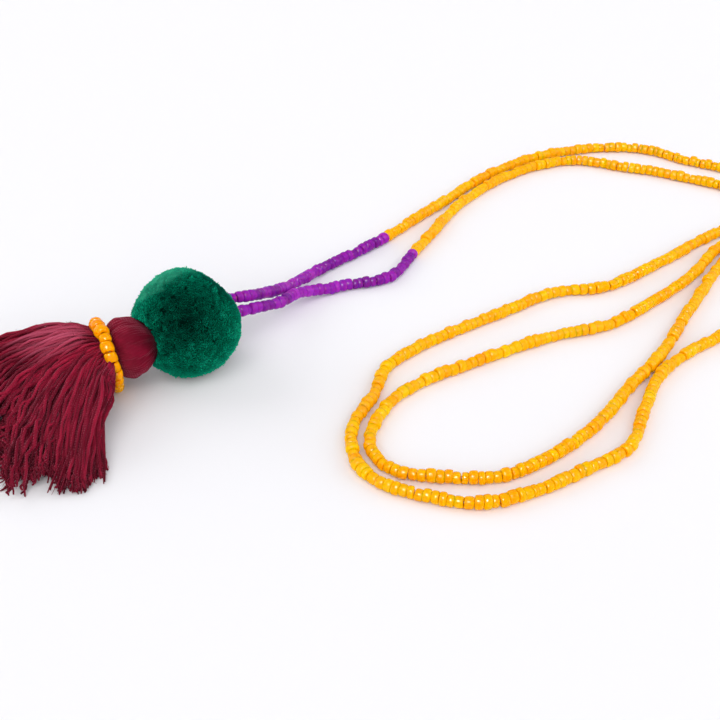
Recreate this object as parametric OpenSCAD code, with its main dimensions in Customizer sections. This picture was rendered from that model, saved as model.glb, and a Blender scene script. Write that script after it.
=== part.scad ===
// Long seed-bead necklace with a pompom and a thread tassel, lying on a flat surface.
// Millimetres, +Z up. The origin is the middle of the necklace's outline on the surface.

/* [Seed beads] */
// Outside diameter of a seed bead, and so of every string of them
bead_d = 3.1; // [2.2:0.1:3.4]

/* [Loop] */
// How far the laid loop reaches, from the middle of the yarn ball to the nape
loop_reach = 211; // [195:1:240]

/* [Pompom] */
// Diameter of the clipped yarn ball
pompom_d = 28; // [22:0.5:34]
// How far the tufts stand out of the ball between them
tuft_relief = 0.9; // [0.4:0.1:1.6]
// How much the ball's own weight flattens it where it rests
pompom_flat = 0.4; // [0.1:0.1:1.5]

/* [Tassel] */
// Widest diameter of the rounded head
head_d = 16; // [14:0.5:19]
// Length of the head from its rounded end to the middle of the collar
head_length = 13.2; // [11:0.2:18]
// How deep the head is pulled into the yarn ball
head_dent = 5.6; // [4:0.1:7.5]
// Outside diameter of the collar of seed beads round the neck
collar_d = 20; // [17:0.5:24]
// Length of the longest skirt threads, from the collar
skirt_length = 49; // [35:1:70]
// Height of the skirt where its threads leave the collar
skirt_height = 20; // [16:0.5:26]
// Thickness of a lock of threads at its widest
lock_w = 5; // [3:0.1:7]
// Direction of the tassel in plan, counted from +X
tassel_heading = 206; // [190:1:225]
// How far the tassel's axis dips towards the surface
tassel_dip = 6; // [0:0.5:8]

/* [Fit] */
// Gap left between pieces that touch on the real necklace
gap = 0.3; // [0.2:0.05:0.6]

/* [Hidden] */
orange = "#F59A0C";
purple = "#8E1FA3";
green = "#00503A";
burgundy = "#6E1430";

// Height of a string's centre where it lies on the surface
lie = bead_d / 2;
pompom_c = [-72.9, -35.1, pompom_d / 2 - pompom_flat];

// The routes below are drawn for a loop of this reach, and spread out from the ball for a longer one
drawn_reach = 211;
function laid(route) =
    [for (p = route) let (way = [p[0] - pompom_c[0], p[1] - pompom_c[1]] * loop_reach / drawn_reach)
        [pompom_c[0] + way[0], pompom_c[1] + way[1], p[2]]];

// Routes of the strings, each a list of [x, y, z] chosen by hand along the laid loop.
// The purple ones start just inside the yarn ball.
PURPLE_BACK_ROUTE = concat(
    [pompom_c + pompom_d * [0.318, 0.289, 0.068]],
    laid([[-58, -23, 14], [-52.5, -14, 9.5], [-47, -3, 5], [-39.5, 10, 2], [-29.5, 19.5, lie],
          [-20, 29, lie]]));
PURPLE_FRONT_ROUTE = concat(
    [pompom_c + pompom_d * [0.407, 0.164, -0.004]],
    laid([[-56, -25, 11.5], [-49.5, -17.5, 8.5], [-45.5, -8, 5.2], [-35, 0.5, lie], [-19.5, 6, lie],
          [-12, 19.5, lie]]));
ORANGE_BACK_ROUTE = laid([
    [-20, 29, lie], [-2.5, 50, lie], [18.5, 73.5, lie], [40, 86.5, lie], [62, 90.5, lie],
    [73, 88, lie], [81, 82, lie], [110, 66, lie], [121, 52, lie], [114, 38, lie], [98, 33, lie],
    [81, 23, lie], [69, 7, lie], [57, -5, lie], [40.5, -18.5, lie], [24.5, -24, lie], [4, -35, lie],
    [-13, -45.5, lie], [-20.5, -53.5, lie], [-24.5, -62.5, lie], [-25.5, -70.5, lie],
    [-21, -78.5, lie], [-9, -81.5, lie], [6, -81, lie], [19, -73, lie], [30.5, -62, lie],
    [41, -47, lie], [52.5, -32, lie], [61.5, -16, lie], [70, -1.5, lie], [79, 13, lie],
    [88, 24, lie], [105, 29, lie],
    [123, 26, lie], [135, 17.5, lie], [138.3, 10, lie], [138.3, 5, lie]]);
ORANGE_FRONT_ROUTE = laid([
    [-12, 19.5, lie], [-4, 35, lie], [4, 50, lie], [19.5, 68, lie], [33, 77, lie], [46, 80.5, lie],
    [60, 76, lie], [73, 71.5, lie], [106, 53, lie], [111, 46.5, lie], [82.5, 32, lie],
    [61.5, 14.5, lie], [43, 1, lie], [27, -2.5, lie], [11, -13, lie], [-9, -26.5, lie],
    [-21, -38.5, lie], [-24.5, -50.5, lie], [-29.5, -62, lie], [-29.5, -74, lie],
    [-24.5, -82.5, lie], [-13, -88, lie], [-1, -90.5, lie], [9, -88, lie], [23.5, -80, lie],
    [37, -70.5, lie], [42.5, -58, lie], [49.5, -42.5, lie], [58.5, -32.5, lie], [70, -24, lie],
    [83, -16, lie], [120, -11.5, lie],
    [133.5, -7, lie], [138.3, 0, lie], [138.3, 5, lie]]);

string_sides = 8;
// The flats of a string's eight sides lie on the beads' own circle
string_r = bead_d / 2 / cos(180 / string_sides);

tuft_count = 96;
tuft_r = pompom_d * 0.1;
golden_turn = 137.508;

collar_ring_r = (collar_d - bead_d) / 2;
neck_r = collar_ring_r - bead_d / 2 - gap;
neck_reach = pompom_d / 2 - head_dent + head_length;
neck_c = [pompom_c[0] + neck_reach * cos(tassel_heading),
          pompom_c[1] + neck_reach * sin(tassel_heading),
          collar_d / 2 * cos(tassel_dip)];

// The head's outline, rounded off by one lobe's radius past its last row: share of its length
// from the neck, share of its widest radius
HEAD_OUTLINE = [
    [0.045, 0.82], [0.18, 0.94], [0.375, 1.00], [0.57, 0.93], [0.73, 0.72], [0.83, 0.44]];
head_lobes = 14;
lobe_r = head_d / 2 * 0.28;
// The head lies against the ball's near side, so its dent is open that way
dent_opening = head_d * 0.4 * [0.2, 0.8, 0.55];

// The skirt's layers of locks, from the top down: number of locks, height at the neck as a share
// of its radius, then the height of the arch, the height of the tips, the length and the spread
// as shares
SKIRT_LAYERS = [
    [15, 0.85, 1.12, 0.28, 1.00, 1.00], [13, 0.10, 0.70, 0.22, 0.97, 0.91],
    [11, -0.75, 0.22, 0.08, 0.94, 0.82]];
lock_sides = 6;
lock_steps = 5;
// The lock's thickness along it: at the neck, and on to the tip, as shares of its width
LOCK_SHARES = [0.45, 0.80, 1.00, 1.00, 0.86, 0.50];
// Neighbouring locks are cut to slightly different lengths
RAGGED = [0.99, 0.95, 1.00, 0.92, 0.97, 0.94, 1.00];
// The fan spreads from the tassel's axis by these angles on its far and near sides
fan_far = -30.5;
fan_near = 70;
// Where across the fan the skirt is highest
crest = -0.42;
// Where across the fan the skirt parts, so that its near bundle lies apart
parting = 0.78;

function unit(v) = v / norm(v);
function mix(a, b, t) = a + (b - a) * t;
function bezier(a, b, c, t) = mix(mix(a, b, t), mix(b, c, t), t);
function heading_at(path, i) = unit(path[min(i + 1, len(path) - 1)] - path[max(i - 1, 0)]);
function ring_at(path, i, r, sides) =
    let (ahead = heading_at(path, i), side = unit(cross(ahead, [0, 0, 1])), up = cross(side, ahead))
    [for (k = [0:sides - 1])
        let (a = 360 * (k + 0.5) / sides) path[i] + r * (cos(a) * side + sin(a) * up)];

// One closed tube along a path, with its own radius at each point
module tube(path, radii, sides) {
    last = len(path) - 1;
    polyhedron(
        points = [for (i = [0:last]) each ring_at(path, i, radii[i], sides)],
        faces = concat(
            [[for (k = [sides - 1:-1:0]) k]],
            [for (i = [0:last - 1], k = [0:sides - 1])
                [i * sides + k, i * sides + (k + 1) % sides, (i + 1) * sides + k]],
            [for (i = [0:last - 1], k = [0:sides - 1])
                [(i + 1) * sides + k, i * sides + (k + 1) % sides, (i + 1) * sides + (k + 1) % sides]],
            [[for (k = [0:sides - 1]) last * sides + k]]));
}

// A route whose two ends are drawn back, or with a negative number carried on, by a length
function drawn_back(route, first, final) =
    let (n = len(route) - 1, start = unit(route[1] - route[0]), finish = unit(route[n - 1] - route[n]))
    [for (i = [0:n]) i == 0 ? route[0] + first * start : i == n ? route[n] + final * finish : route[i]];

module bead_string(route) {
    tube(drawn_back(route, gap / 2, gap / 2), [for (p = route) string_r], string_sides);
}

module bead_string_back() {
    color(orange) bead_string(ORANGE_BACK_ROUTE);
}

module bead_string_front() {
    color(orange) bead_string(ORANGE_FRONT_ROUTE);
}

module purple_length_back() {
    color(purple) bead_string(PURPLE_BACK_ROUTE);
}

module purple_length_front() {
    color(purple) bead_string(PURPLE_FRONT_ROUTE);
}

// The space that a string takes up where it goes into the yarn ball
module string_well(route) {
    inlet = drawn_back([route[0], route[1]], -gap / 2, 0);
    tube(inlet, [string_r + gap, string_r + gap], string_sides);
}

// Everything below the surface that the necklace lies on
module under_surface() {
    reach = skirt_length + pompom_d + head_length;
    translate([pompom_c[0] - reach, pompom_c[1] - reach, -pompom_d]) cube([2 * reach, 2 * reach, pompom_d]);
}

// Clumps of clipped yarn spread evenly over the ball
module tufts() {
    for (i = [0:tuft_count - 1]) {
        height = 1 - (2 * i + 1) / tuft_count;
        slant = acos(height);
        out = pompom_d / 2 - tuft_r * (i % 3 == 0 ? 1.06 : 1);
        rotate([0, slant, i * golden_turn]) hull() {
            translate([0, 0, out]) sphere(r = tuft_r, $fn = 8);
            translate([0, 0, out - tuft_r]) sphere(r = tuft_r * 0.8, $fn = 5);
        }
    }
}

module pompom() {
    color(green) difference() {
        translate(pompom_c) {
            sphere(d = pompom_d - 2 * tuft_relief, $fn = 40);
            tufts();
        }
        at_neck() head_dent_form();
        string_well(PURPLE_BACK_ROUTE);
        string_well(PURPLE_FRONT_ROUTE);
        under_surface();
    }
}

// Places a thing drawn along +X, with the collar's middle at its origin, on the tassel's axis
module at_neck() {
    translate(neck_c) rotate([0, tassel_dip, tassel_heading]) children();
}

// The rounded head's smooth form, grown by a clearance all round
module head_form(grow) {
    rotate([0, -90, 0]) rotate_extrude($fn = 32) intersection() {
        hull()
            for (row = HEAD_OUTLINE, out = [row[1] * head_d / 2 - lobe_r, 0])
                translate([out, row[0] * head_length]) circle(r = lobe_r + grow, $fn = 24);
        translate([0, -head_length]) square([head_d, 3 * head_length]);
    }
}

// The room that the head takes in the yarn ball
module head_dent_form() {
    hull() {
        head_form(gap);
        translate(dent_opening) head_form(gap);
    }
}

// The head: bundles of thread that run over it lengthwise
module head() {
    for (i = [0:head_lobes - 1])
        rotate([i * 360 / head_lobes, 0, 0]) hull()
            for (row = HEAD_OUTLINE)
                translate([-row[0] * head_length, 0, row[1] * head_d / 2 - lobe_r])
                    rotate([13, 0, 0]) sphere(r = lobe_r, $fn = 8);
    rotate([4.7, 0, 0]) head_form(-lobe_r * 0.4);
}

// How far the skirt has fallen away from its crest: 0 at the crest, 1 at the near edge
function fall(across) = across > crest
    ? pow((across - crest) / (1 - crest), 1.3)
    : 0.5 * pow((crest - across) / (1 + crest), 2);

// The path of one skirt lock, with the neck's foot as origin and +X along the tassel:
// across is -1 on the far side and 1 on the near side
function lock_path(across, layer, share = 1) =
    let (
        turn = mix(fan_far, fan_near, (across + 1) / 2),
        lift = layer[1] * sqrt(1 - 0.7 * across * across),
        reach = skirt_length * layer[4] * share * (0.97 - 0.10 * across - 0.135 * across * across),
        start = [-0.02 * skirt_length, neck_r * 0.66 * across, neck_c[2] + neck_r * 0.72 * lift],
        // Short of the parting the locks run on along the tassel before they turn
        swept = 0.2 * exp(-pow((across - 0.25) / 0.45, 2)) / (1 + exp((across - parting) / 0.06)),
        bend = [
            skirt_length * (0.16 - 0.05 * across + swept),
            skirt_length * (0.245 * across - 0.03 * across * across),
            skirt_height * layer[2] * (1 - 0.55 * fall(across))],
        tip = [
            reach * cos(turn),
            reach * sin(turn),
            lock_w * 0.16 + skirt_height * layer[3] * (1 - 0.95 * fall(across))])
    [for (s = [0:lock_steps]) let (t = s / lock_steps) bezier(start, bend, tip, t)];

module lock(across, layer, share) {
    tube(lock_path(across, layer, share), [for (share = LOCK_SHARES) share * lock_w / 2], lock_sides);
}

// The skirt: layers of locks round a filling of shorter threads
module skirt() {
    translate([neck_c[0], neck_c[1], 0]) rotate([0, 0, tassel_heading]) {
        for (layer = SKIRT_LAYERS, i = [0:layer[0] - 1])
            lock((2 * i / (layer[0] - 1) - 1) * layer[5], layer, RAGGED[i % len(RAGGED)]);
        filling_cuts = 12;
        for (i = [0:filling_cuts - 1]) hull()
            for (across = [2 * i / filling_cuts - 1, 2 * (i + 1) / filling_cuts - 1],
                 layer = [SKIRT_LAYERS[0], SKIRT_LAYERS[2]], s = [1, 2, 3, 4])
                translate(lock_path(across * layer[5] * 0.93, layer)[s]) sphere(r = lock_w * 0.2, $fn = 6);
    }
}

module tassel() {
    color(burgundy) difference() {
        union() {
            at_neck() {
                head();
                translate([-head_length * 0.3, 0, 0]) rotate([8.3, 0, 0]) rotate([0, 90, 0])
                    cylinder(r = neck_r, h = head_length * 0.3 + skirt_length * 0.12, $fn = 28);
            }
            skirt();
        }
        at_neck() rotate([2.2, 0, 0]) collar_ring(bead_d + 2 * gap, 32, 12);
        under_surface();
    }
}

module collar_ring(thickness, ring_facets, bead_facets) {
    rotate([0, 90, 0]) rotate_extrude($fn = ring_facets)
        translate([collar_ring_r, 0]) circle(d = thickness, $fn = bead_facets);
}

module collar_beads() {
    color(orange) at_neck() collar_ring(bead_d, 48, 24);
}

bead_string_back();
bead_string_front();
purple_length_back();
purple_length_front();
pompom();
tassel();
collar_beads();
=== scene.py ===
"""A long seed-bead necklace with a clipped yarn ball and a thread tassel, lying on a pale table."""
import bpy
import math
import numpy as np
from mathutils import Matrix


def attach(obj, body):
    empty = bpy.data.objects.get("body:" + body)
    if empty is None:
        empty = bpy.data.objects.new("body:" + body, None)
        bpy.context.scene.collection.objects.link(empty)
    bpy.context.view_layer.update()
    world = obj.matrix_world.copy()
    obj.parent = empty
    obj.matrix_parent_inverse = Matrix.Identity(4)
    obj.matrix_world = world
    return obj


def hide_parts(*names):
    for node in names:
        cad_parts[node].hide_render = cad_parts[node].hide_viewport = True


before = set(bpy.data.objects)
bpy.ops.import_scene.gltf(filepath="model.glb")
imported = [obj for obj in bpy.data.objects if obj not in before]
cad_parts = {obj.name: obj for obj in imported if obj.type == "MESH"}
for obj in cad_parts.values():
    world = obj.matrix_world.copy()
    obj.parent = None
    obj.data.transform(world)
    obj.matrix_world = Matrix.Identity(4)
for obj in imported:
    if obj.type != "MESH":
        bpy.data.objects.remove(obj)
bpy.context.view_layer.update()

# Sizes in millimetres, the same as the solid model's, and what turns them to metres
MM = 0.001
BEAD_D = 3.1
# Height of a string's middle where it lies on the table
LIE = BEAD_D / 2
BALL_D = 28.0
# The ball rests on the table, flattened by this much
BALL_FLAT = 0.4
HEAD_D = 16.0
HEAD_LENGTH = 13.2
# How deep the head sits in the ball
HEAD_DENT = 5.6
COLLAR_D = 20.0
SKIRT_LENGTH = 49.0
SKIRT_HEIGHT = 20.0
# The least gap between two solids
GAP = 0.3
# Which way the tassel points, seen from above, and how far it leans down
HEADING = math.radians(206)
DIP = math.radians(6)
BALL_C = np.array([-72.9, -35.1, BALL_D / 2 - BALL_FLAT])
NECK_REACH = BALL_D / 2 - HEAD_DENT + HEAD_LENGTH
NECK_C = np.array([BALL_C[0] + NECK_REACH * math.cos(HEADING),
                   BALL_C[1] + NECK_REACH * math.sin(HEADING),
                   COLLAR_D / 2 * math.cos(DIP)])
# Radius of the ring on which the collar's beads have their middles, and of the neck inside them
COLLAR_R = (COLLAR_D - BEAD_D) / 2
NECK_R = COLLAR_R - BEAD_D / 2 - GAP

# The strings' routes, point for point as the solids have them
PURPLE_BACK = [
    tuple(BALL_C + BALL_D * np.array([0.318, 0.289, 0.068])), (-58, -23, 14), (-52.5, -14, 9.5),
    (-47, -3, 5), (-39.5, 10, 2), (-29.5, 19.5, LIE), (-20, 29, LIE)]
PURPLE_FRONT = [
    tuple(BALL_C + BALL_D * np.array([0.407, 0.164, -0.004])), (-56, -25, 11.5), (-49.5, -17.5, 8.5),
    (-45.5, -8, 5.2), (-35, 0.5, LIE), (-19.5, 6, LIE), (-12, 19.5, LIE)]
ORANGE_BACK = [(x, y, LIE) for x, y in (
    (-20, 29), (-2.5, 50), (18.5, 73.5), (40, 86.5), (62, 90.5), (73, 88), (81, 82), (110, 66),
    (121, 52), (114, 38), (98, 33), (81, 23), (69, 7), (57, -5), (40.5, -18.5), (24.5, -24), (4, -35),
    (-13, -45.5), (-20.5, -53.5), (-24.5, -62.5), (-25.5, -70.5), (-21, -78.5), (-9, -81.5), (6, -81),
    (19, -73), (30.5, -62), (41, -47), (52.5, -32), (61.5, -16), (70, -1.5), (79, 13), (88, 24),
    (105, 29), (123, 26), (135, 17.5), (138.3, 10), (138.3, 5))]
ORANGE_FRONT = [(x, y, LIE) for x, y in (
    (-12, 19.5), (-4, 35), (4, 50), (19.5, 68), (33, 77), (46, 80.5), (60, 76), (73, 71.5), (106, 53),
    (111, 46.5), (82.5, 32), (61.5, 14.5), (43, 1), (27, -2.5), (11, -13), (-9, -26.5),
    (-21, -38.5), (-24.5, -50.5), (-29.5, -62), (-29.5, -74), (-24.5, -82.5), (-13, -88), (-1, -90.5),
    (9, -88), (23.5, -80), (37, -70.5), (42.5, -58), (49.5, -42.5), (58.5, -32.5), (70, -24),
    (83, -16), (120, -11.5), (133.5, -7), (138.3, 0), (138.3, 5))]


def place_camera():
    """Sets the camera where the photograph was taken from."""
    lens = bpy.data.cameras.new("viewpoint")
    lens.sensor_width = 36
    lens.lens = 61.25
    lens.clip_start = 0.01
    stand = bpy.data.objects.new("viewpoint", lens)
    stand.location = (-0.028, -0.297, 0.1919)
    stand.rotation_euler = (math.radians(54), 0, 0)
    bpy.context.scene.collection.objects.link(stand)
    bpy.context.scene.camera = stand


def gloss_light(name, place, aim, size, power):
    """A round light that adds bright spots to what is glossy, and no other light."""
    lamp = bpy.data.lights.new(name, "AREA")
    lamp.shape = "DISK"
    lamp.size = size
    lamp.energy = power
    holder = bpy.data.objects.new(name, lamp)
    holder.visible_diffuse = False
    holder.location = place
    way = np.array(aim, float) - np.array(place, float)
    flat = math.hypot(way[0], way[1])
    holder.rotation_euler = (math.atan2(flat, -way[2]), 0, math.atan2(way[0], -way[1]) + math.pi)
    bpy.context.scene.collection.objects.link(holder)


def wide_light(name, bearing, height, spread, power, tint):
    """A large soft source far off, so its light is even all over the table: angles in degrees."""
    lamp = bpy.data.lights.new(name, "SUN")
    lamp.angle = math.radians(spread)
    lamp.energy = power
    lamp.color = tint
    holder = bpy.data.objects.new(name, lamp)
    holder.rotation_euler = (math.radians(90 - height), 0, math.radians(bearing + 90))
    bpy.context.scene.collection.objects.link(holder)


def plain_colours():
    """Shows colours as they are, as a product photograph does."""
    bpy.context.scene.view_settings.view_transform = "Standard"


def sky_light(strength):
    """Even light from all round, as in a white studio."""
    world = bpy.data.worlds.new("studio air")
    bpy.context.scene.world = world
    world.use_nodes = True
    air = world.node_tree.nodes["Background"]
    air.inputs["Color"].default_value = (0.975, 0.97, 1.0, 1)
    air.inputs["Strength"].default_value = strength


def linear(colour_hex):
    """An sRGB hex colour as the linear values that a shader takes."""
    channels = [int(colour_hex[i:i + 2], 16) / 255 for i in (1, 3, 5)]
    return tuple(c / 12.92 if c <= 0.04045 else ((c + 0.055) / 1.055) ** 2.4 for c in channels) + (1,)


def add_node(tree, kind, settings=None, inputs=None, links=None):
    """Adds one node, sets its own settings and its sockets, and links sockets to earlier outputs.

    A Mix node's sockets go by number: 0 is its share, 4 and 5 its vectors and 6 and 7 its colours, and
    its vector comes out at 1 and its colour at 2.
    """
    node = tree.nodes.new(kind)
    for key, value in (settings or {}).items():
        setattr(node, key, value)
    for key, value in (inputs or {}).items():
        node.inputs[key].default_value = value
    for key, source in (links or {}).items():
        tree.links.new(source, node.inputs[key])
    return node


def new_material(name):
    """An empty material and its node tree."""
    material = bpy.data.materials.new(name)
    material.use_nodes = True
    tree = material.node_tree
    tree.nodes.clear()
    return material, tree


def ramp_stops(node, stops):
    """Sets a colour ramp's places and colours."""
    ramp = node.color_ramp
    while len(ramp.elements) < len(stops):
        ramp.elements.new(0.5)
    for element, (place, colour) in zip(ramp.elements, stops):
        element.position = place
        element.color = linear(colour)


def pressed_glass(name, deep, plain, pale):
    """Opaque pressed glass, tumbled smooth: small bright spots on an even, slightly varied colour."""
    material, tree = new_material(name)
    island = add_node(tree, "ShaderNodeNewGeometry")
    tone = add_node(tree, "ShaderNodeValToRGB", links={"Fac": island.outputs["Random Per Island"]})
    ramp_stops(tone, [(0.0, deep), (0.35, plain), (0.8, plain), (1.0, pale)])
    place = add_node(tree, "ShaderNodeTexCoord")
    # Faint swirls in the melt, about 1.5 mm long
    swirl = add_node(tree, "ShaderNodeTexNoise", inputs={"Scale": 650.0, "Detail": 2.0},
                     links={"Vector": place.outputs["Object"]})
    level = add_node(tree, "ShaderNodeMapRange",
                     inputs={"From Min": 0.3, "From Max": 0.7, "To Min": 0.92, "To Max": 1.06},
                     links={"Value": swirl.outputs["Fac"]})
    melt = add_node(tree, "ShaderNodeVectorMath", {"operation": "SCALE"},
                    links={0: tone.outputs["Color"], "Scale": level.outputs["Result"]})
    # Ripples that the tumbling leaves, about 0.8 mm apart
    ripple = add_node(tree, "ShaderNodeTexNoise", inputs={"Scale": 1200.0, "Detail": 1.0},
                      links={"Vector": place.outputs["Object"]})
    bump = add_node(tree, "ShaderNodeBump", inputs={"Strength": 0.10, "Distance": 0.0002},
                    links={"Height": ripple.outputs["Fac"]})
    shader = add_node(tree, "ShaderNodeBsdfPrincipled",
                      inputs={"Roughness": 0.14, "IOR": 1.52, "Specular IOR Level": 0.1,
                              "Subsurface Weight": 0.8, "Subsurface Scale": 0.0018,
                              "Subsurface Radius": (1.0, 0.5, 0.15)},
                      links={"Base Color": melt.outputs["Vector"], "Normal": bump.outputs["Normal"]})
    add_node(tree, "ShaderNodeOutputMaterial", links={"Surface": shader.outputs["BSDF"]})
    return material


def waxed_thread():
    """Waxed nylon beading thread: twisted, so faintly ridged, and low in shine."""
    material, tree = new_material("waxed nylon thread")
    place = add_node(tree, "ShaderNodeTexCoord")
    # Ridges of its twist, about half a millimetre apart
    twist = add_node(tree, "ShaderNodeTexWave", {"bands_direction": "DIAGONAL"}, {"Scale": 900.0},
                     {"Vector": place.outputs["Object"]})
    bump = add_node(tree, "ShaderNodeBump", inputs={"Strength": 0.3, "Distance": 0.0001},
                    links={"Height": twist.outputs["Fac"]})
    shader = add_node(tree, "ShaderNodeBsdfPrincipled",
                      inputs={"Base Color": linear("#C9862A"), "Roughness": 0.6, "IOR": 1.53},
                      links={"Normal": bump.outputs["Normal"]})
    add_node(tree, "ShaderNodeOutputMaterial", links={"Surface": shader.outputs["BSDF"]})
    return material


# Which way the side with painted light on the yarn ball faces: up, to the far side and to the left
PAINTED_LIGHT_SIDE = (-0.55, 0.55, 0.63)


def clipped_yarn():
    """Clipped acrylic yarn: painted shade makes it dark on its cut ends and deep in its pile, brighter along
    the sides of its fibres.
    """
    material, tree = new_material("clipped acrylic yarn")
    place = add_node(tree, "ShaderNodeTexCoord")
    surface = add_node(tree, "ShaderNodeNewGeometry")
    outward = add_node(tree, "ShaderNodeVectorMath", {"operation": "SUBTRACT"},
                       {1: tuple(BALL_C * MM)}, {0: place.outputs["Object"]})
    far = add_node(tree, "ShaderNodeVectorMath", {"operation": "LENGTH"},
                   links={0: outward.outputs["Vector"]})
    # The last 2 mm of the pile, from its depth to its tips: painted shade, darkest deep in the pile and
    # lightest at the tips
    depth = add_node(tree, "ShaderNodeMapRange",
                     inputs={"From Min": (BALL_D / 2 - 2.0) * MM, "From Max": (BALL_D / 2 + 0.3) * MM},
                     links={"Value": far.outputs["Value"]})
    sides = add_node(tree, "ShaderNodeValToRGB", links={"Fac": depth.outputs["Result"]})
    ramp_stops(sides, [(0.0, "#00281E"), (0.5, "#006450"), (0.85, "#00C498"), (1.0, "#28F4C4")])
    way = add_node(tree, "ShaderNodeVectorMath", {"operation": "NORMALIZE"},
                   links={0: outward.outputs["Vector"]})
    facing = add_node(tree, "ShaderNodeVectorMath", {"operation": "DOT_PRODUCT"},
                      links={0: way.outputs["Vector"], 1: surface.outputs["True Normal"]})
    # Painted shade: the faces that look along the fibres, their cut ends, take a dark colour for the shade
    # between the fibres
    cut_end = add_node(tree, "ShaderNodeMapRange", inputs={"From Min": 0.35, "From Max": 0.85},
                       links={"Value": facing.outputs["Value"]})
    painted_pile_shade = add_node(tree, "ShaderNodeMix", {"data_type": "RGBA"}, {7: linear("#003026")},
                          {0: cut_end.outputs["Result"], 6: sides.outputs["Color"]})
    # Clumps of yarn ends about 2 mm across
    clump = add_node(tree, "ShaderNodeTexNoise", inputs={"Scale": 430.0, "Detail": 2.0, "Roughness": 0.5},
                     links={"Vector": place.outputs["Object"]})
    shade = add_node(tree, "ShaderNodeMath", {"operation": "MULTIPLY_ADD"}, {1: 0.14},
                     {0: surface.outputs["Random Per Island"], 2: clump.outputs["Fac"]})
    level = add_node(tree, "ShaderNodeMapRange",
                     inputs={"From Min": 0.36, "From Max": 0.78, "To Min": 0.8, "To Max": 1.2},
                     links={"Value": shade.outputs["Value"]})
    clumped = add_node(tree, "ShaderNodeVectorMath", {"operation": "SCALE"},
                       links={0: painted_pile_shade.outputs[2], "Scale": level.outputs["Result"]})
    # Painted light: that side is made paler, unevenly from clump to clump
    side = add_node(tree, "ShaderNodeVectorMath", {"operation": "DOT_PRODUCT"}, {1: PAINTED_LIGHT_SIDE},
                    {0: way.outputs["Vector"]})
    uneven = add_node(tree, "ShaderNodeMath", {"operation": "MULTIPLY_ADD"}, {1: 0.5},
                      {0: clump.outputs["Fac"], 2: side.outputs["Value"]})
    painted_side_light = add_node(tree, "ShaderNodeMapRange", {"interpolation_type": "SMOOTHSTEP"},
                    {"From Min": 0.8, "From Max": 1.25, "To Max": 0.9}, {"Value": uneven.outputs["Value"]})
    dye_with_painted_shading = add_node(tree, "ShaderNodeMix", {"data_type": "RGBA"}, {7: linear("#60F4C8")},
                    {0: painted_side_light.outputs["Result"], 6: clumped.outputs["Vector"]})
    # The pile is too fine for each fibre to shade alone, so it shades mostly as the ball does
    lie = add_node(tree, "ShaderNodeMix", {"data_type": "VECTOR"}, {0: 0.8},
                   {4: surface.outputs["Normal"], 5: way.outputs["Vector"]})
    shader = add_node(tree, "ShaderNodeBsdfPrincipled",
                      inputs={"Roughness": 0.9, "IOR": 1.5, "Sheen Weight": 1.0, "Sheen Roughness": 0.4,
                              "Sheen Tint": linear("#30FFD0"), "Specular IOR Level": 0.0},
                      links={"Base Color": dye_with_painted_shading.outputs[2], "Normal": lie.outputs[1]})
    through = add_node(tree, "ShaderNodeBsdfTranslucent", links={"Color": dye_with_painted_shading.outputs[2]})
    both = add_node(tree, "ShaderNodeMixShader", inputs={"Fac": 0.35},
                    links={1: shader.outputs["BSDF"], 2: through.outputs["BSDF"]})
    add_node(tree, "ShaderNodeOutputMaterial", links={"Surface": both.outputs["Shader"]})
    return material


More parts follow.
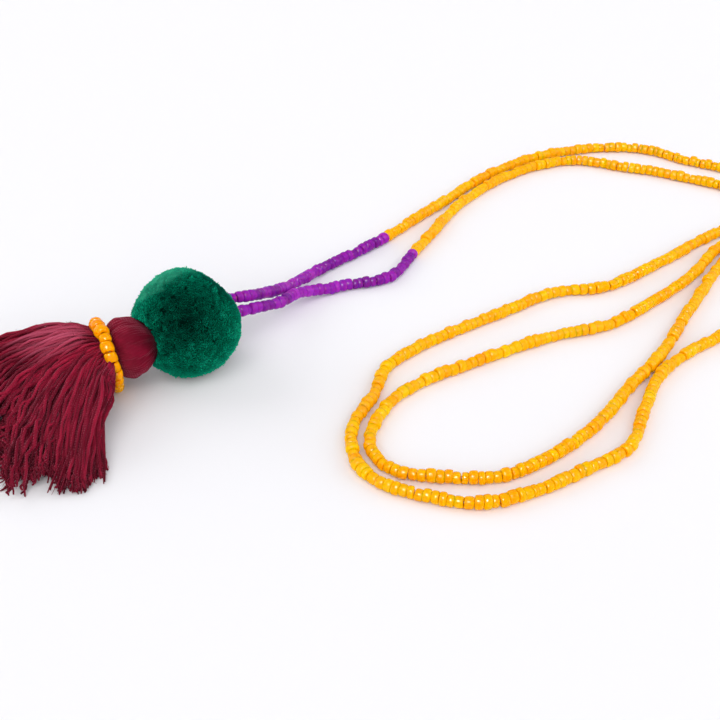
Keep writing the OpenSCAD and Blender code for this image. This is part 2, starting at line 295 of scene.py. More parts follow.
def spun_viscose(name, dark, plain, pale, sheen, painted_light_colour):
    """Spun viscose in fine plies: soft, deep in colour, low in sheen and faintly ribbed by its twist."""
    material, tree = new_material(name)
    place = add_node(tree, "ShaderNodeTexCoord")
    island = add_node(tree, "ShaderNodeNewGeometry")
    tone = add_node(tree, "ShaderNodeValToRGB", links={"Fac": island.outputs["Random Per Island"]})
    ramp_stops(tone, [(0.0, dark), (0.35, plain), (0.75, plain), (1.0, pale)])
    # The mesh's UV runs once round the thread, and along it in millimetres: three plies, 2 mm to a turn
    along = add_node(tree, "ShaderNodeSeparateXYZ", links={"Vector": place.outputs["UV"]})
    slant = add_node(tree, "ShaderNodeMath", {"operation": "MULTIPLY_ADD"}, {1: 0.5},
                     {0: along.outputs["Y"], 2: along.outputs["X"]})
    plies = add_node(tree, "ShaderNodeMath", {"operation": "MULTIPLY"}, {1: 2 * math.pi * 3},
                     {0: slant.outputs["Value"]})
    wave = add_node(tree, "ShaderNodeMath", {"operation": "SINE"}, links={0: plies.outputs["Value"]})
    # Its fibres are too fine to show, so they are drawn about 0.4 mm apart
    fibre = add_node(tree, "ShaderNodeTexNoise", inputs={"Scale": 2600.0, "Detail": 2.0},
                     links={"Vector": place.outputs["Object"]})
    height = add_node(tree, "ShaderNodeMath", {"operation": "MULTIPLY_ADD"}, {1: 0.35},
                      {0: wave.outputs["Value"], 2: fibre.outputs["Fac"]})
    bump = add_node(tree, "ShaderNodeBump", inputs={"Strength": 0.7, "Distance": 0.00015},
                    links={"Height": height.outputs["Value"]})
    # Uneven dye in patches of about 4 mm, and painted shade a little darker between the plies
    patch = add_node(tree, "ShaderNodeTexNoise", inputs={"Scale": 250.0, "Detail": 3.0},
                     links={"Vector": place.outputs["Object"]})
    dye_and_ply_shade = add_node(tree, "ShaderNodeMath", {"operation": "MULTIPLY_ADD"}, {1: 0.09},
                      {0: wave.outputs["Value"], 2: patch.outputs["Fac"]})
    level = add_node(tree, "ShaderNodeMapRange",
                     inputs={"From Min": 0.25, "From Max": 0.75, "To Min": 0.72, "To Max": 1.25},
                     links={"Value": dye_and_ply_shade.outputs["Value"]})
    patchy_and_ply_shaded = add_node(tree, "ShaderNodeVectorMath", {"operation": "SCALE"},
                      links={0: tone.outputs["Color"], "Scale": level.outputs["Result"]})
    # Painted shade: the threads next to the table are made a little darker
    spot = add_node(tree, "ShaderNodeSeparateXYZ", links={"Vector": place.outputs["Object"]})
    painted_low_shade = add_node(tree, "ShaderNodeMapRange",
                      inputs={"From Min": 1.0 * MM, "From Max": 10.0 * MM, "To Min": 0.75, "To Max": 1.0},
                      links={"Value": spot.outputs["Z"]})
    dye_with_painted_shading = add_node(tree, "ShaderNodeVectorMath", {"operation": "SCALE"},
                    links={0: patchy_and_ply_shaded.outputs["Vector"], "Scale": painted_low_shade.outputs["Result"]})
    # Painted light: the skirt's uppermost threads are made paler, where more light falls on them. The head
    # isn't.
    painted_top_light = add_node(tree, "ShaderNodeMapRange",
                    inputs={"From Min": 16.2 * MM, "From Max": 18.8 * MM, "To Max": 0.65},
                    links={"Value": spot.outputs["Z"]})
    past_collar = add_node(tree, "ShaderNodeMapRange",
                           inputs={"From Min": NECK_C[0] * MM, "From Max": (NECK_C[0] - 6) * MM},
                           links={"Value": spot.outputs["X"]})
    painted_skirt_top_light = add_node(tree, "ShaderNodeMath", {"operation": "MULTIPLY"},
                          links={0: painted_top_light.outputs["Result"], 1: past_collar.outputs["Result"]})
    painted_top_light_mix = add_node(tree, "ShaderNodeMix", {"data_type": "RGBA"}, {7: linear(painted_light_colour)},
                     {0: painted_skirt_top_light.outputs["Value"], 6: dye_with_painted_shading.outputs["Vector"]})
    shader = add_node(tree, "ShaderNodeBsdfPrincipled",
                      inputs={"Roughness": 0.6, "IOR": 1.5, "Specular IOR Level": 0.02,
                              "Sheen Weight": 0.5, "Sheen Roughness": 0.3, "Sheen Tint": linear(sheen)},
                      links={"Base Color": painted_top_light_mix.outputs[2], "Normal": bump.outputs["Normal"]})
    add_node(tree, "ShaderNodeOutputMaterial", links={"Surface": shader.outputs["BSDF"]})
    return material


def matt_table():
    """Matt white laminate: an even white that shows soft shadows and no shine."""
    material, tree = new_material("matt white laminate")
    shader = add_node(tree, "ShaderNodeBsdfPrincipled",
                      inputs={"Base Color": linear("#EBEBEE"), "Roughness": 0.75, "Specular IOR Level": 0.0})
    add_node(tree, "ShaderNodeOutputMaterial", links={"Surface": shader.outputs["BSDF"]})
    return material


class Shape:
    """Gathers points, faces and UVs of many small forms into one mesh, in millimetres."""

    def __init__(self):
        self.points = []
        self.faces = []
        self.uvs = []
        self.slots = []
        self.count = 0

    def add(self, points, faces, uvs=None, slot=0):
        faces = np.asarray(faces)
        self.points.append(np.asarray(points, float))
        self.faces.append(faces + self.count)
        self.uvs.append(np.zeros(faces.shape + (2,)) if uvs is None else uvs)
        self.slots.append(np.full(len(faces), slot))
        self.count += len(points)

    def piece(self, name, materials, smooth=True):
        mesh = bpy.data.meshes.new(name)
        points = np.vstack(self.points) * MM
        sizes = np.concatenate([np.full(len(f), f.shape[1]) for f in self.faces])
        corners = np.concatenate([f.ravel() for f in self.faces])
        mesh.vertices.add(len(points))
        mesh.vertices.foreach_set("co", points.ravel())
        mesh.loops.add(len(corners))
        mesh.loops.foreach_set("vertex_index", corners.astype(np.int32))
        mesh.polygons.add(len(sizes))
        starts = np.concatenate([[0], np.cumsum(sizes)[:-1]])
        mesh.polygons.foreach_set("loop_start", starts.astype(np.int32))
        mesh.polygons.foreach_set("use_smooth", np.full(len(sizes), smooth))
        mesh.polygons.foreach_set("material_index", np.concatenate(self.slots).astype(np.int32))
        layer = mesh.uv_layers.new(name="thread")
        layer.data.foreach_set("uv", np.concatenate([u.reshape(-1, 2) for u in self.uvs]).ravel())
        for material in materials:
            mesh.materials.append(material)
        mesh.update(calc_edges=True)
        mesh.validate()
        made = bpy.data.objects.new(name, mesh)
        bpy.context.scene.collection.objects.link(made)
        return made


def grid_faces(rings, sides):
    """Quads of a tube with so many rings and sides."""
    i, k = np.meshgrid(np.arange(rings - 1), np.arange(sides), indexing="ij")
    n = (k + 1) % sides
    corners = [i * sides + k, i * sides + n, (i + 1) * sides + n, (i + 1) * sides + k]
    return np.stack(corners, -1).reshape(-1, 4)


def grid_uvs(u0, u1, v0, v1):
    """UVs of a tube's quads, in the order in which grid_faces gives their corners."""
    corners = [np.stack(corner, -1) for corner in ((u0, v0), (u1, v0), (u1, v1), (u0, v1))]
    return np.stack(corners, -2).reshape(-1, 4, 2)


def close_ends(shape, rings, sides, outward, slot=0):
    """Fans of triangles from the two middle points that follow a tube's own points in a shape."""
    k = np.arange(sides)
    n = (k + 1) % sides
    tip = (rings - 1) * sides
    first = np.stack([n, k, np.full(sides, rings * sides)], -1)
    last = np.stack([tip + k, tip + n, np.full(sides, rings * sides + 1)], -1)
    fans = np.vstack([first, last])
    base = shape.count - rings * sides - 2
    shape.faces.append((fans[:, ::-1] if outward else fans) + base)
    shape.uvs.append(np.zeros((2 * sides, 3, 2)))
    shape.slots.append(np.full(2 * sides, slot))


def lengths_along(path):
    """How far along a path each of its points is."""
    return np.concatenate([[0], np.cumsum(np.linalg.norm(np.diff(path, axis=0), axis=1))])


def frames_along(path):
    """Unit vectors ahead, to the side and up at each point of a path."""
    ahead = np.gradient(path, axis=0)
    ahead /= np.linalg.norm(ahead, axis=1, keepdims=True)
    side = np.cross(ahead, [0, 0, 1.0])
    side /= np.maximum(np.linalg.norm(side, axis=1, keepdims=True), 1e-9)
    return ahead, side, np.cross(side, ahead)


def strand(shape, path, radii, sides, slot=0):
    """One closed strand along a path. UV x goes once round it, and UV y along it in millimetres."""
    path = np.asarray(path, float)
    rings = len(path)
    _, side, up = frames_along(path)
    turn = (np.arange(sides) + 0.5) / sides * 2 * math.pi
    r = np.asarray(radii)[:, None, None]
    points = path[:, None] + r * (np.cos(turn)[None, :, None] * side[:, None]
                                  + np.sin(turn)[None, :, None] * up[:, None])
    run = lengths_along(path)
    i, k = np.meshgrid(np.arange(rings - 1), np.arange(sides), indexing="ij")
    uvs = grid_uvs(k / sides, (k + 1) / sides, run[i], run[i + 1])
    points = np.vstack([points.reshape(-1, 3), path[:1], path[-1:]])
    shape.add(points, grid_faces(rings, sides)[:, ::-1], uvs[:, ::-1], slot)
    close_ends(shape, rings, sides, outward=True, slot=slot)


def smooth_route(points, step=0.25):
    """A centripetal curve through a route's points, as closely spaced points."""
    p = np.array(points, float)
    p = np.vstack([2 * p[0] - p[1], p, 2 * p[-1] - p[-2]])
    out = []
    for a, b, c, d in zip(p[:-3], p[1:-2], p[2:-1], p[3:]):
        t1 = math.sqrt(np.linalg.norm(b - a))
        t2 = t1 + math.sqrt(np.linalg.norm(c - b))
        t3 = t2 + math.sqrt(np.linalg.norm(d - c))
        t = np.linspace(t1, t2, max(2, int(np.linalg.norm(c - b) / step)), endpoint=False)[:, None]
        a1 = (t1 - t) / t1 * a + t / t1 * b
        a2 = (t2 - t) / (t2 - t1) * b + (t - t1) / (t2 - t1) * c
        a3 = (t3 - t) / (t3 - t2) * c + (t - t2) / (t3 - t2) * d
        b1 = (t2 - t) / t2 * a1 + t / t2 * a2
        b2 = (t3 - t) / (t3 - t1) * a2 + (t - t1) / (t3 - t1) * a3
        out.append((t2 - t) / (t2 - t1) * b1 + (t - t1) / (t2 - t1) * b2)
    return np.vstack(out + [p[-2:-1]])


# A bead's section, as shares of its half length and its radius, from one lip of the hole to the other
BEAD_SECTION = np.array([
    (-0.74, 0.28), (-0.94, 0.42), (-1.00, 0.66), (-0.92, 0.86), (-0.58, 0.97), (0.0, 1.0),
    (0.58, 0.97), (0.92, 0.86), (1.00, 0.66), (0.94, 0.42), (0.74, 0.28)])
BEAD_SIDES = 12
# Beads' lengths in millimetres: the usual one, how much they vary, the shortest and the longest
BEAD_LENGTHS = (1.98, 0.24, 1.45, 2.55)
# Their radii on a string, in the same order
BEAD_RADII = (LIE * 1.05, 0.11, LIE * 0.9, LIE * 1.14)
STRING_THREAD_R = 0.32
COLLAR_THREAD_R = 0.30
COLLAR_BEADS = 21


def varied(rng, usual, vary, least, most):
    """A random size about the usual one, within limits."""
    return float(np.clip(rng.normal(usual, vary), least, most))


def bead(shape, middle, ahead, radius, length, rng):
    """One seed bead: a short rounded ring of glass, slightly out of true."""
    tilt = rng.normal(0, 0.05, 3)
    ahead = ahead + tilt
    ahead /= np.linalg.norm(ahead)
    side = np.cross(ahead, [0.13, 0.21, 1.0])
    side /= np.linalg.norm(side)
    up = np.cross(side, ahead)
    turn = np.arange(BEAD_SIDES) / BEAD_SIDES * 2 * math.pi
    squash = 1 + 0.03 * np.cos(2 * turn + rng.uniform(0, 6.28))
    slant = 0.045 * np.cos(turn + rng.uniform(0, 6.28))
    x = (BEAD_SECTION[:, 0] * length / 2)[:, None] + (slant * length)[None]
    r = BEAD_SECTION[:, 1][:, None] * radius * np.where(BEAD_SECTION[:, 1][:, None] > 0.6, squash[None], 1)
    points = (middle + x[..., None] * ahead + r[..., None]
              * (np.cos(turn)[None, :, None] * side + np.sin(turn)[None, :, None] * up))
    rings = len(BEAD_SECTION)
    faces = grid_faces(rings, BEAD_SIDES)
    k = np.arange(BEAD_SIDES)
    n = (k + 1) % BEAD_SIDES
    last = (rings - 1) * BEAD_SIDES
    hole = np.stack([last + k, last + n, n, k], -1)
    shape.add(points.reshape(-1, 3), np.vstack([faces, hole]))


def bead_lengths(total, rng):
    """Lengths of neighbouring beads that fill a stretch, each a little different."""
    lengths = []
    while sum(lengths) < total:
        lengths.append(varied(rng, *BEAD_LENGTHS))
    return np.array(lengths) * total / sum(lengths)


def bead_string(name, route, glass, thread, seed):
    """One string of seed beads on its thread, along a route."""
    rng = np.random.default_rng(seed)
    curve = smooth_route(route)
    run = lengths_along(curve)
    # The end beads stop this far short of the string's ends
    margin = 0.15
    lengths = bead_lengths(run[-1] - 2 * margin, rng)
    middles = margin + np.cumsum(lengths) - lengths / 2
    # The string's direction at a bead comes from this far before and after the bead's middle
    look = 0.8
    shape = Shape()
    for middle, length in zip(middles, lengths):
        before, spot, after = (np.array([np.interp(s, run, curve[:, j]) for j in range(3)])
                               for s in (middle - look, middle, middle + look))
        ahead = (after - before) / np.linalg.norm(after - before)
        radius = varied(rng, *BEAD_RADII)
        spot[:2] += rng.normal(0, 0.10, 2)
        # Smaller beads lie a little lower, and none sinks into the table
        spot[2] = max(spot[2] - max(0.0, LIE - radius) * 0.8, radius * 1.03 + 0.02)
        bead(shape, spot, ahead, radius, length * 1.02, rng)
    thread_path = curve[::6]
    strand(shape, thread_path, np.full(len(thread_path), STRING_THREAD_R), 6, slot=1)
    return shape.piece(name, [glass, thread])


def collar_round(glass, thread):
    """The round of beads that ties in the tassel's neck."""
    rng = np.random.default_rng(31)
    shape = Shape()
    sizes = np.clip(rng.normal(1.0, 0.12, COLLAR_BEADS), 0.82, 1.2)
    turns = np.cumsum(sizes) / sizes.sum() * 2 * math.pi
    for a, size in zip(turns - sizes / sizes.sum() * math.pi + 0.1, sizes):
        radius = LIE * min(size, 1.08) * (1.02 + 0.12 * max(math.sin(a), 0) ** 4)
        local = np.array([0, math.cos(a), math.sin(a)]) * (COLLAR_R + rng.uniform(-0.12, 0.12))
        local[0] = rng.uniform(-0.28, 0.28)
        way = np.array([0, -math.sin(a), math.cos(a)])
        spot = at_neck(local)
        spot[2] = max(spot[2], radius + 0.05)
        length = COLLAR_R * 2 * math.pi / sizes.sum() * size
        bead(shape, spot, at_neck(way, place=False), radius, length, rng)
    thread_turns = np.linspace(0, 2 * math.pi, 60)
    ring = [at_neck(COLLAR_R * np.array([0, math.cos(a), math.sin(a)])) for a in thread_turns]
    strand(shape, ring, np.full(len(ring), COLLAR_THREAD_R), 6, slot=1)
    return shape.piece("collar_bead_round", [glass, thread])


def at_neck(local, place=True):
    """From the neck's own axes, +X along the tassel, to the necklace's."""
    local = np.asarray(local, float)
    c, s = math.cos(DIP), math.sin(DIP)
    dipped = np.stack([local[..., 0] * c + local[..., 2] * s, local[..., 1],
                       -local[..., 0] * s + local[..., 2] * c], -1)
    c, s = math.cos(HEADING), math.sin(HEADING)
    turned = np.stack([dipped[..., 0] * c - dipped[..., 1] * s, dipped[..., 0] * s + dipped[..., 1] * c,
                       dipped[..., 2]], -1)
    return turned + NECK_C if place else turned


def from_neck(points):
    """The other way: how far along the tassel's axis, and how far from it."""
    axis = at_neck([1.0, 0, 0], place=False)
    rel = points - NECK_C
    along = rel @ axis
    return along, np.linalg.norm(rel - along[:, None] * axis, axis=1)


# The head's outline: share of its length from the neck, share of its widest radius
HEAD_OUTLINE = [(-0.30, 0.62), (-0.06, 0.56), (0.10, 0.58), (0.19, 0.86), (0.375, 1.0),
                (0.639, 0.904), (0.852, 0.628), (0.955, 0.36), (1.0, 0.06)]
# The head lies against the ball's near side, so its dent is open that way
DENT_OPENING = HEAD_D * 0.4 * np.array([0.2, 0.8, 0.55])


def head_profile():
    """The head's outline as a smooth line of (share of its length, radius)."""
    line = smooth_route(HEAD_OUTLINE, 0.02)
    return line[:, 0], line[:, 1] * HEAD_D / 2


def inside_head(points, clearance):
    """Which points are in the room that the head takes in the yarn ball."""
    shares, radii = head_profile()
    found = np.zeros(len(points), bool)
    for part in (0.0, 0.35, 0.7, 1.0):
        along, out = from_neck(points - at_neck(DENT_OPENING * part, place=False))
        share = -along / (HEAD_LENGTH + clearance)
        near = np.interp(share, shares, radii, right=0.0) + clearance
        found |= (share > -0.1) & (share < 1) & (out < near)
    return found


def near_string(points, route, clearance):
    """Which points are in the way of a string where it enters the ball."""
    a, b = np.array(route[0], float), np.array(route[1], float)
    way = (b - a) / np.linalg.norm(b - a)
    along = (points - a) @ way
    gap = np.linalg.norm(points - a - along[:, None] * way, axis=1)
    return (along > -1.5) & (gap < clearance)


def fibres(shape, root, tip, width, rng):
    """Many clipped fibres, each a slim closed form of four faces that widens to its cut end."""
    ahead = tip - root
    ahead /= np.linalg.norm(ahead, axis=1, keepdims=True)
    side = np.cross(ahead, rng.normal(0, 1, root.shape))
    side /= np.linalg.norm(side, axis=1, keepdims=True)
    up = np.cross(side, ahead)
    corners = [tip + width[:, None] * (math.cos(a) * side + math.sin(a) * up + slope * ahead)
               for a, slope in ((0.0, 0.35), (2 * math.pi / 3, -0.2), (4 * math.pi / 3, -0.15))]
    points = np.stack(corners + [root], 1).reshape(-1, 3)
    base = (np.arange(len(root)) * 4)[:, None]
    shape.add(points, np.concatenate([base + np.array(face)[None] for face in
                                      ((1, 0, 3), (2, 1, 3), (0, 2, 3), (0, 1, 2))]))


def spread_ways(count, rng, jitter):
    """Directions spread evenly over a ball, each a little off its place."""
    i = np.arange(count)
    z = 1 - (2 * i + 1) / count
    turn = i * math.pi * (3 - math.sqrt(5))
    ways = np.stack([np.sqrt(1 - z * z) * np.cos(turn), np.sqrt(1 - z * z) * np.sin(turn), z], -1)
    ways += rng.normal(0, jitter, ways.shape)
    return ways / np.linalg.norm(ways, axis=1, keepdims=True)


TUFTS = 1500
# Fibres that each tuft has in each of the two piles
FIBRES = 31


def yarn_ball(yarn):
    """A lumpy core under a pile of clipped yarn, whose cut ends splay into tufts of fibres."""
    rng = np.random.default_rng(7)
    ways = spread_ways(TUFTS, rng, 0.028)
    # It is clipped a little unevenly: flatter at its upper right, fuller at its lower right
    reach = (BALL_D / 2 + rng.normal(-0.2, 0.16, TUFTS)
             + 0.3 * np.sin(3.1 * ways[:, 0] + 2.3 * ways[:, 2]) * np.sin(4 * ways[:, 1])
             - 1.2 * np.clip(ways @ [0.66, 0.44, 0.61], 0, 1) ** 6
             + 0.5 * np.clip(ways @ [0.87, -0.29, -0.40], 0, 1) ** 8)
    piles = []
    for _ in range(2):
        shape = Shape()
        own = np.repeat(np.arange(TUFTS), FIBRES)
        n = len(own)
        spread = rng.normal(0, 1, (n, 3))
        spread -= (spread * ways[own]).sum(1, keepdims=True) * ways[own]
        root = BALL_C + ways[own] * (BALL_D / 2 - 2.7) + spread * 0.22
        lean = spread * 0.42 + rng.normal(0, 0.12, (n, 3))
        tip = BALL_C + ways[own] * (reach[own] + rng.normal(-0.1, 0.12, n))[:, None] + lean
        tip[:, 2] = np.maximum(tip[:, 2], 0.05 + rng.uniform(0, 0.25, n))
        root[:, 2] = np.maximum(root[:, 2], 0.3)
        middle = root * 0.4 + tip * 0.6
        kept = ~(inside_head(tip, 0.25) | inside_head(middle, 0.25))
        for route in (PURPLE_BACK, PURPLE_FRONT):
            kept &= ~(near_string(tip, route, 1.7) | near_string(middle, route, 1.5))
        fibres(shape, root[kept], tip[kept], rng.uniform(0.13, 0.21, kept.sum()), rng)
        piles.append(shape)
    core = Shape()
    rings, sides = 40, 64
    lat = np.linspace(0.02, math.pi - 0.02, rings)[:, None]
    lon = np.arange(sides)[None] / sides * 2 * math.pi
    way = np.stack([np.sin(lat) * np.cos(lon), np.sin(lat) * np.sin(lon), np.cos(lat) + 0 * lon], -1)
    lump = BALL_D / 2 - 1.9 + 0.25 * np.sin(9 * way[..., 0] + 5 * way[..., 1]) * np.sin(8 * way[..., 2])
    ball = (BALL_C + way * lump[..., None]).reshape(-1, 3)
    inward = BALL_C - ball
    # Step by step inward, until the core leaves room for the head
    for _ in range(24):
        ball = np.where(inside_head(ball, 0.35)[:, None], ball + inward * 0.04, ball)
    core.add(np.vstack([ball, ball[:sides].mean(0), ball[-sides:].mean(0)]),
             grid_faces(rings, sides)[:, ::-1])
    close_ends(core, rings, sides, outward=True)
    return (piles[0].piece("yarn_ball_pile", [yarn], smooth=False),
            piles[1].piece("yarn_ball_pile_second", [yarn], smooth=False),
            core.piece("yarn_ball_core", [yarn]))


def tassel_head(thread):
    """The rounded head: fine threads run over it lengthwise, pulled into a soft crease or two."""
    shape = Shape()
    threads = 60
    # Four sides of the mesh to each thread, so UV x counts the threads
    sides = threads * 4
    shares, radii = head_profile()
    bend = np.concatenate([[0], np.cumsum(np.hypot(np.diff(shares * HEAD_LENGTH), np.diff(radii)))])
    s_row = np.interp(np.linspace(0, bend[-1], 40), bend, shares)
    r_row = np.interp(np.linspace(0, bend[-1], 40), bend, radii)
    rings = len(s_row)
    turn = np.arange(sides) / sides * 2 * math.pi
    s, a = np.meshgrid(s_row, turn, indexing="ij")
    form = r_row[:, None] - 0.12
    wander = 0.06 * np.sin(4 * s + 2.0 * np.sin(2 * a))
    ridge = np.abs(np.cos((a + wander) * threads / 2)) ** 0.8
    soft = (0.22 * np.sin(3 * a + 1.0) + 0.16 * np.sin(5 * a + 2.2 + 2.5 * s) + 0.10 * np.sin(9 * a - 3 * s)
            + 0.25 * np.cos(2 * (a - 0.4)) * (s - 0.4))
    crease = np.zeros_like(a)
    # Where round the head each crease is, how deep, and how wide
    for where, deep, wide in ((5.5, 0.6, 0.10), (0.9, 0.7, 0.13), (0.25, 0.45, 0.08), (1.6, 0.4, 0.10)):
        off = (a - where + 0.25 * s + math.pi) % (2 * math.pi) - math.pi
        crease -= deep * np.exp(-(off / wide) ** 2)
    lumps = (0.16 * np.sin(7 * a + 9 * s) * np.sin(11 * s - 3 * a)
             + 0.10 * np.sin(17 * a + 4 * s) * np.sin(19 * s))
    swell = np.clip(form / (HEAD_D * 0.3), 0, 1) ** 1.5
    r = form + (soft * 0.5 + lumps + crease + 0.22 * ridge) * swell
    local = np.stack([-s * HEAD_LENGTH, r * np.cos(a), r * np.sin(a)], -1)
    points = at_neck(local.reshape(-1, 3))
    points[:, 2] = np.maximum(points[:, 2], 0.02)
    i, k = np.meshgrid(np.arange(rings - 1), np.arange(sides), indexing="ij")
    row = bend[-1] / (rings - 1)
    uvs = grid_uvs(k / 4, (k + 1) / 4, row * i, row * (i + 1))
    ends = at_neck(np.array([[-s_row[0] * HEAD_LENGTH, 0, 0], [-HEAD_LENGTH, 0, 0]]))
    shape.add(np.vstack([points, ends]), grid_faces(rings, sides), uvs)
    close_ends(shape, rings, sides, outward=False)
    return shape.piece("tassel_head", [thread])


def mix(a, b, t):
    """The value at share t of the way from a to b."""
    return a + (b - a) * t


# The skirt's layers as the solids have them, from the top down: height at the neck, of the arch and
# of the tips, then length and spread, all as shares
LAYERS = np.array([
    (0.85, 1.12, 0.28, 1.00, 1.00), (0.10, 0.70, 0.22, 0.97, 0.91), (-0.75, 0.22, 0.08, 0.94, 0.82)])
# The fan spreads from the tassel's axis by these angles on its far and near sides
FAN_FAR = -30.5
FAN_NEAR = 70.0
# Where across the fan it is highest, and where it parts
CREST = -0.42
PARTING = 0.78
LOCK_W = 5.0


def fall(across):
    """How far the skirt has fallen away from its crest: 0 at the crest, 1 at the near edge."""
    if across > CREST:
        return ((across - CREST) / (1 - CREST)) ** 1.3
    return 0.5 * ((CREST - across) / (1 + CREST)) ** 2


def skirt_path(across, depth, share, steps):
    """The path of one thread: across from -1 far to 1 near, depth from 0 on top to 1 below."""
    layer = [np.interp(depth * 2, [0, 1, 2], LAYERS[:, j]) for j in range(5)]
    a = across * layer[4]
    turn = math.radians(mix(FAN_FAR, FAN_NEAR, (a + 1) / 2))
    lift = layer[0] * math.sqrt(1 - 0.7 * a * a)
    reach = SKIRT_LENGTH * layer[3] * share * (0.97 - 0.10 * a - 0.135 * a * a)
    start = np.array([-0.02 * SKIRT_LENGTH, NECK_R * 0.66 * a, NECK_C[2] + NECK_R * 0.72 * lift])
    # Short of the parting the threads run on along the tassel before they turn
    swept = 0.2 * math.exp(-((across - 0.25) / 0.45) ** 2) / (1 + math.exp((across - PARTING) / 0.03))
    bend = np.array([SKIRT_LENGTH * (0.16 - 0.05 * a + swept), SKIRT_LENGTH * (0.245 * a - 0.03 * a * a),
                     SKIRT_HEIGHT * layer[1] * (1 - 0.55 * fall(a))])
    tip = np.array([reach * math.cos(turn), reach * math.sin(turn),
                    LOCK_W * 0.16 + SKIRT_HEIGHT * layer[2] * (1 - 0.95 * fall(a))])
    t = np.linspace(0, 1, steps)[:, None]
    return mix(mix(start, bend, t), mix(bend, tip, t), t)


def to_skirt(path):
    """From the skirt's own axes on the table to the necklace's."""
    c, s = math.cos(HEADING), math.sin(HEADING)
    return np.stack([NECK_C[0] + path[:, 0] * c - path[:, 1] * s,
                     NECK_C[1] + path[:, 0] * s + path[:, 1] * c, path[:, 2]], -1)


def tapered(path, radii, shape, sides):
    """A strand that is lifted where it would sink into the table."""
    path[:, 2] = np.maximum(path[:, 2], np.asarray(radii) + 0.02)
    strand(shape, path, radii, sides)


def frayed_end(shape, path, radius, rng, curly):
    """The plies of a thread untwist where it was cut, and curl apart among a few stray fibres."""
    tip = path[-1]
    ahead = path[-1] - path[-4]
    ahead /= np.linalg.norm(ahead)
    side = np.cross(ahead, [0, 0, 1.0])
    side /= np.linalg.norm(side)
    up = np.cross(side, ahead)
    for ply in range(3):
        length = rng.uniform(2.4, 3.6) + 2.6 * curly * rng.uniform(0, 1)
        t = np.linspace(0, 1, 7)[:, None]
        turn = 2.1 * ply + rng.uniform(-0.4, 0.4) + t * length * rng.uniform(0.7, 1.3)
        wide = radius * 0.45 + t * rng.uniform(0.3, 1.1) * (0.4 + 0.9 * curly)
        ply_path = tip + ahead * (t * length - 1.6) * (1 - 0.15 * curly)
        ply_path = ply_path + wide * (np.cos(turn) * side + np.sin(turn) * up)
        ply_path[:, 2] -= (t[:, 0] ** 2) * rng.uniform(0.2, 1.0)
        blunt = np.array([0.7, 1, 1, 1, 1, 0.95, 0.8])
        tapered(ply_path, radius * rng.uniform(0.56, 0.72) * blunt, shape, 5)
    for _ in range(3):
        length = rng.uniform(1.2, 2.6)
        t = np.linspace(0, 1, 5)[:, None]
        hair = tip + ahead * (t * length - 0.5) + rng.normal(0, 0.45, 3) * t * length * 0.6
        hair = hair + rng.normal(0, 0.35, 3) * np.sin(t * math.pi * rng.uniform(0.7, 1.6))
        tapered(hair, rng.uniform(0.07, 0.12) * np.array([1, 1, 0.9, 0.7, 0.35]), shape, 3)


def sway(across, depth, t):
    """How far the threads lean to the near side along their length: neighbours lean together."""
    lean = (0.9 * np.sin(8.5 * across + 3.0 * depth + 2.6 * t)
            + 0.9 * np.sin(21 * across - 5 * depth + 4.3 * t)
            + 0.8 * np.sin(47 * across + 7 * depth + 5.5 * t))
    # The near bundle hangs straight down from the collar and leaves a dark parting beside it
    parting = 1.3 * math.tanh((across - PARTING) / 0.04) * math.exp(-((across - PARTING) / 0.2) ** 2)
    return t * lean + parting * np.sin(math.pi * np.clip(t * 1.5, 0, 1)) ** 1.2 * (1 - 0.8 * depth)


SKIRT_THREAD_R = (0.32, 0.46)
LOOSE_THREAD_R = (0.22, 0.38)


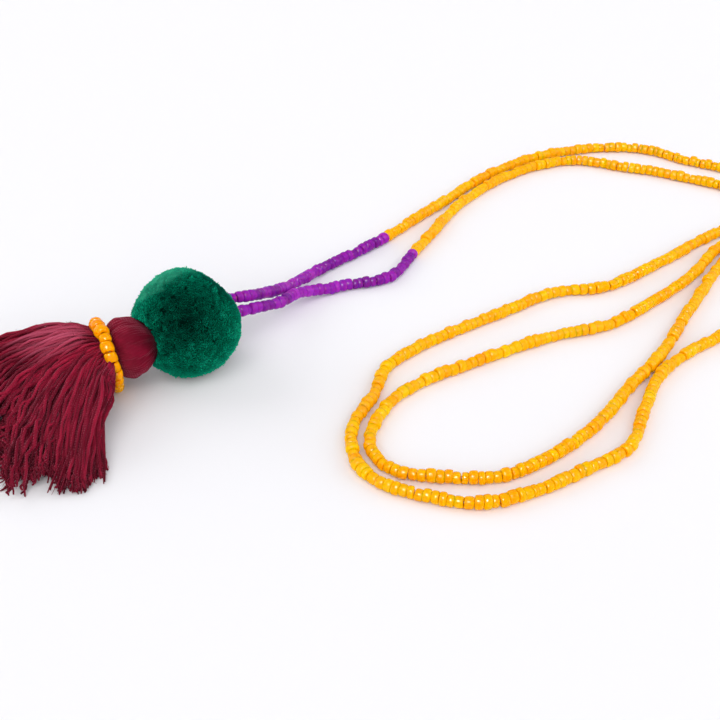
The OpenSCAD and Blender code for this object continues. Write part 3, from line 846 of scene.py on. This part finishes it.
def tassel_skirt(thread):
    """The skirt: many spun threads that bunch and part, dark between, frayed at their cut ends."""
    rng = np.random.default_rng(19)
    upper, lower, ends = Shape(), Shape(), Shape()
    fuzz_from = []
    # How deep each row of threads lies, how many it has, and the piece that it is in
    rows = [(0.0, 70, upper), (0.07, 72, upper), (0.16, 66, upper), (0.30, 60, lower), (0.50, 52, lower),
            (0.75, 42, lower), (1.0, 34, lower)]
    steps = 27
    t = np.linspace(0, 1, steps)
    for depth, count, shape in rows:
        for i in range(count):
            # They lie closer together on the near side
            across = 1 - 2 * (1 - (i + 0.5) / count) ** 1.3
            across = float(np.clip(across + rng.normal(0, 0.4 / count), -1, 1))
            d = float(np.clip(depth + rng.normal(0, 0.035), 0, 1))
            # The cut ends run in and out in clumps
            wave = 2 * math.pi * (across - 0.88) / 0.45
            ragged = (0.07 * math.cos(wave) - 0.015 * (1 - math.cos(2 * wave))
                      + 0.02 * math.sin(31 * across + 8 * d))
            # The top threads end short of those under them, so their frayed ends show in a deep band
            stepped = 0.20 * (1 - d) * math.exp(-((across - 0.3) / 0.38) ** 2) * rng.uniform(0.3, 1.1)
            share = 0.985 - 0.06 / (1 + math.exp((0.1 - across) / 0.1)) + ragged - stepped
            share += rng.normal(0, 0.02)
            path = skirt_path(across, d, share, steps)
            # They stand apart in the skirt's middle, and close up at the neck and the tips
            puff = np.interp(t, [0, 0.2, 0.5, 0.8, 1], [0.45, 0.8, 1.0, 0.85, 0.3]) * LOCK_W / 2 * 0.45
            path[:, 2] += puff * (1 - 2 * d) * (1 if d < 0.5 else 0.6)
            path[:, 1] += puff * 0.5 * across * (1 - abs(1 - 2 * d))
            path[:, 1] += sway(across, d, t)
            # One in four strays from its neighbours
            stray = rng.normal(0, 1.4) if rng.uniform() < 0.25 else rng.normal(0, 0.4)
            path[:, 1] += stray * t ** 1.4
            path[:, 2] += (abs(stray) * 0.3 + rng.normal(-0.15, 0.28)) * np.sin(math.pi * t ** 0.7)
            for axis, most in ((1, 0.62), (2, 0.5), (0, 0.3)):
                size = rng.uniform(0.15, most) * t
                path[:, axis] += size * np.sin(t * rng.uniform(7, 15) + rng.uniform(0, 6.28))
            # Neighbours pass over and under each other, so the gaps between them are short and dark
            over = 2 * math.pi * rng.uniform(1.6, 3.0) * t + math.pi * i + rng.normal(0, 0.9)
            path[:, 2] += 0.40 * np.clip(t * 5, 0, 1) * np.sin(over)
            path[:, 1] += 0.30 * np.clip(t * 4, 0, 1) * np.cos(over * 0.8)
            # The outermost threads bulge out below the collar
            near = max(across, 0) ** 5
            far = min(across, 0) ** 5
            path[:, 1] += (3.8 * near + 2.6 * far) * np.exp(-((t - 0.22) / 0.16) ** 2) + 1.7 * near * t
            path[:, 0] -= 2.6 * near * np.exp(-((t - 0.54) / 0.13) ** 2)
            # The near bundle lies a little higher than the threads beside it
            path[:, 2] += 1.2 / (1 + math.exp((PARTING - across) / 0.03)) * (1 - d) * np.sin(math.pi * t)
            # Curls towards the cut ends, smaller on the near side
            kink = rng.uniform(0.5, 1.9) * t ** 3 * (0.3 + 0.7 * (across < 0.6))
            path[:, 1] += kink * np.sin(t * rng.uniform(30, 48) + rng.uniform(0, 6.28))
            path[:, 2] += kink * np.cos(t * rng.uniform(30, 48) + rng.uniform(0, 6.28))
            radius = rng.uniform(*SKIRT_THREAD_R)
            width = radius * np.interp(t, [0, 0.12, 0.35, 0.9, 1], [0.50, 0.72, 1.0, 1.0, 0.9])
            width = width * (1 + 0.06 * np.sin(t * rng.uniform(20, 34) + rng.uniform(0, 6.28)))
            path[:, 2] = np.maximum(path[:, 2], width + 0.02)
            path = to_skirt(path)
            strand(shape, path, width, 6)
            roots = rng.integers(2, steps, 22)
            fuzz_from.append(path[roots])
            frayed_end(ends, path, radius, rng, curly=float(np.clip(0.95 - across, 0.15, 1)))
    # Loose thin threads at the near edge
    for _ in range(60):
        across = varied(rng, 0.90, 0.12, 0.4, 1.05)
        d = rng.uniform(0, 0.9)
        path = skirt_path(across, d, rng.uniform(0.88, 1.12), steps)
        path[:, 1] += (1.1 * t * rng.uniform(-0.2, 1.0)
                       + 0.8 * t * np.sin(t * rng.uniform(7, 15) + rng.uniform(0, 6)))
        path[:, 2] = path[:, 2] * (1 - 0.15 * t) + 0.7 * (1 - t)
        width = rng.uniform(*LOOSE_THREAD_R) * np.interp(t, [0, 0.9, 1], [1, 1, 0.6])
        tapered(to_skirt(path), width, ends, 5)
    # Stray fibres that stand off the threads
    fuzz_from = np.vstack(fuzz_from)
    off = rng.normal(0, 1, fuzz_from.shape)
    off /= np.linalg.norm(off, axis=1, keepdims=True)
    off[:, 2] = np.abs(off[:, 2])
    reach = rng.uniform(0.6, 1.1, len(off))[:, None]
    fibres(ends, fuzz_from + off * 0.45, fuzz_from + off * reach, rng.uniform(0.035, 0.06, len(off)), rng)
    return (upper.piece("tassel_skirt_upper", [thread]), lower.piece("tassel_skirt_lower", [thread]),
            ends.piece("tassel_skirt_ends", [thread]))


def table_top(material):
    """The table that the necklace lies on, 6 m across."""
    mesh = bpy.data.meshes.new("table_top")
    far = 3.0
    corners = [(-far, -far, 0), (far, -far, 0), (far, far, 0), (-far, far, 0)]
    mesh.from_pydata(corners, [], [(0, 1, 2, 3)])
    mesh.materials.append(material)
    made = bpy.data.objects.new("table_top", mesh)
    bpy.context.scene.collection.objects.link(made)


def keep(piece, slot, *nodes):
    """Makes a piece part of the necklace, in place of any nodes named. Its slot is not used."""
    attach(piece, "root")
    if nodes:
        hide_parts(*nodes)


place_camera()
plain_colours()
sky_light(0.48)
wide_light("window", 264, 42, 65, 1.95, (1.0, 0.99, 0.97))
wide_light("fill_light", 5, 24, 60, 1.25, (0.98, 0.98, 1.0))
wide_light("back_light", 152, 30, 50, 0.95, (1.0, 0.99, 1.0))
gloss_light("catch_light", (-0.16, -0.52, 0.72), (0, -0.03, 0), 0.4, 36.0)
table_top(matt_table())

orange_glass = pressed_glass("opaque orange pressed glass", "#FFA200", "#FFAE00", "#FFBA00")
# The collar's beads are the same orange glass, made a deeper orange as painted shade
collar_glass_painted_shade = pressed_glass("orange pressed glass with painted shade", "#FF8E00", "#FF9E00", "#FFAA00")
purple_glass = pressed_glass("opaque purple pressed glass", "#721088", "#8E18A4", "#A026B2")
beading_thread = waxed_thread()
green_yarn = clipped_yarn()
# The last colour is the painted light on the skirt's uppermost threads
burgundy = spun_viscose("spun viscose thread", "#50081A", "#780E28", "#941834", "#FF90A8", "#D8607E")

keep(bead_string("orange_beads_back", ORANGE_BACK, orange_glass, beading_thread, 3),
     "orange_beads", "bead_string_back")
keep(bead_string("orange_beads_front", ORANGE_FRONT, orange_glass, beading_thread, 4),
     "orange_beads", "bead_string_front")
keep(bead_string("purple_beads_back", PURPLE_BACK, purple_glass, beading_thread, 5),
     "purple_beads", "purple_length_back")
keep(bead_string("purple_beads_front", PURPLE_FRONT, purple_glass, beading_thread, 6),
     "purple_beads", "purple_length_front")
keep(collar_round(collar_glass_painted_shade, beading_thread), "orange_beads", "collar_beads")
pile, pile_second, core = yarn_ball(green_yarn)
keep(pile, "green_yarn", "pompom")
keep(pile_second, "green_yarn")
keep(core, "green_yarn")
keep(tassel_head(burgundy), "burgundy_thread", "tassel")
for bundle in tassel_skirt(burgundy):
    keep(bundle, "burgundy_thread")
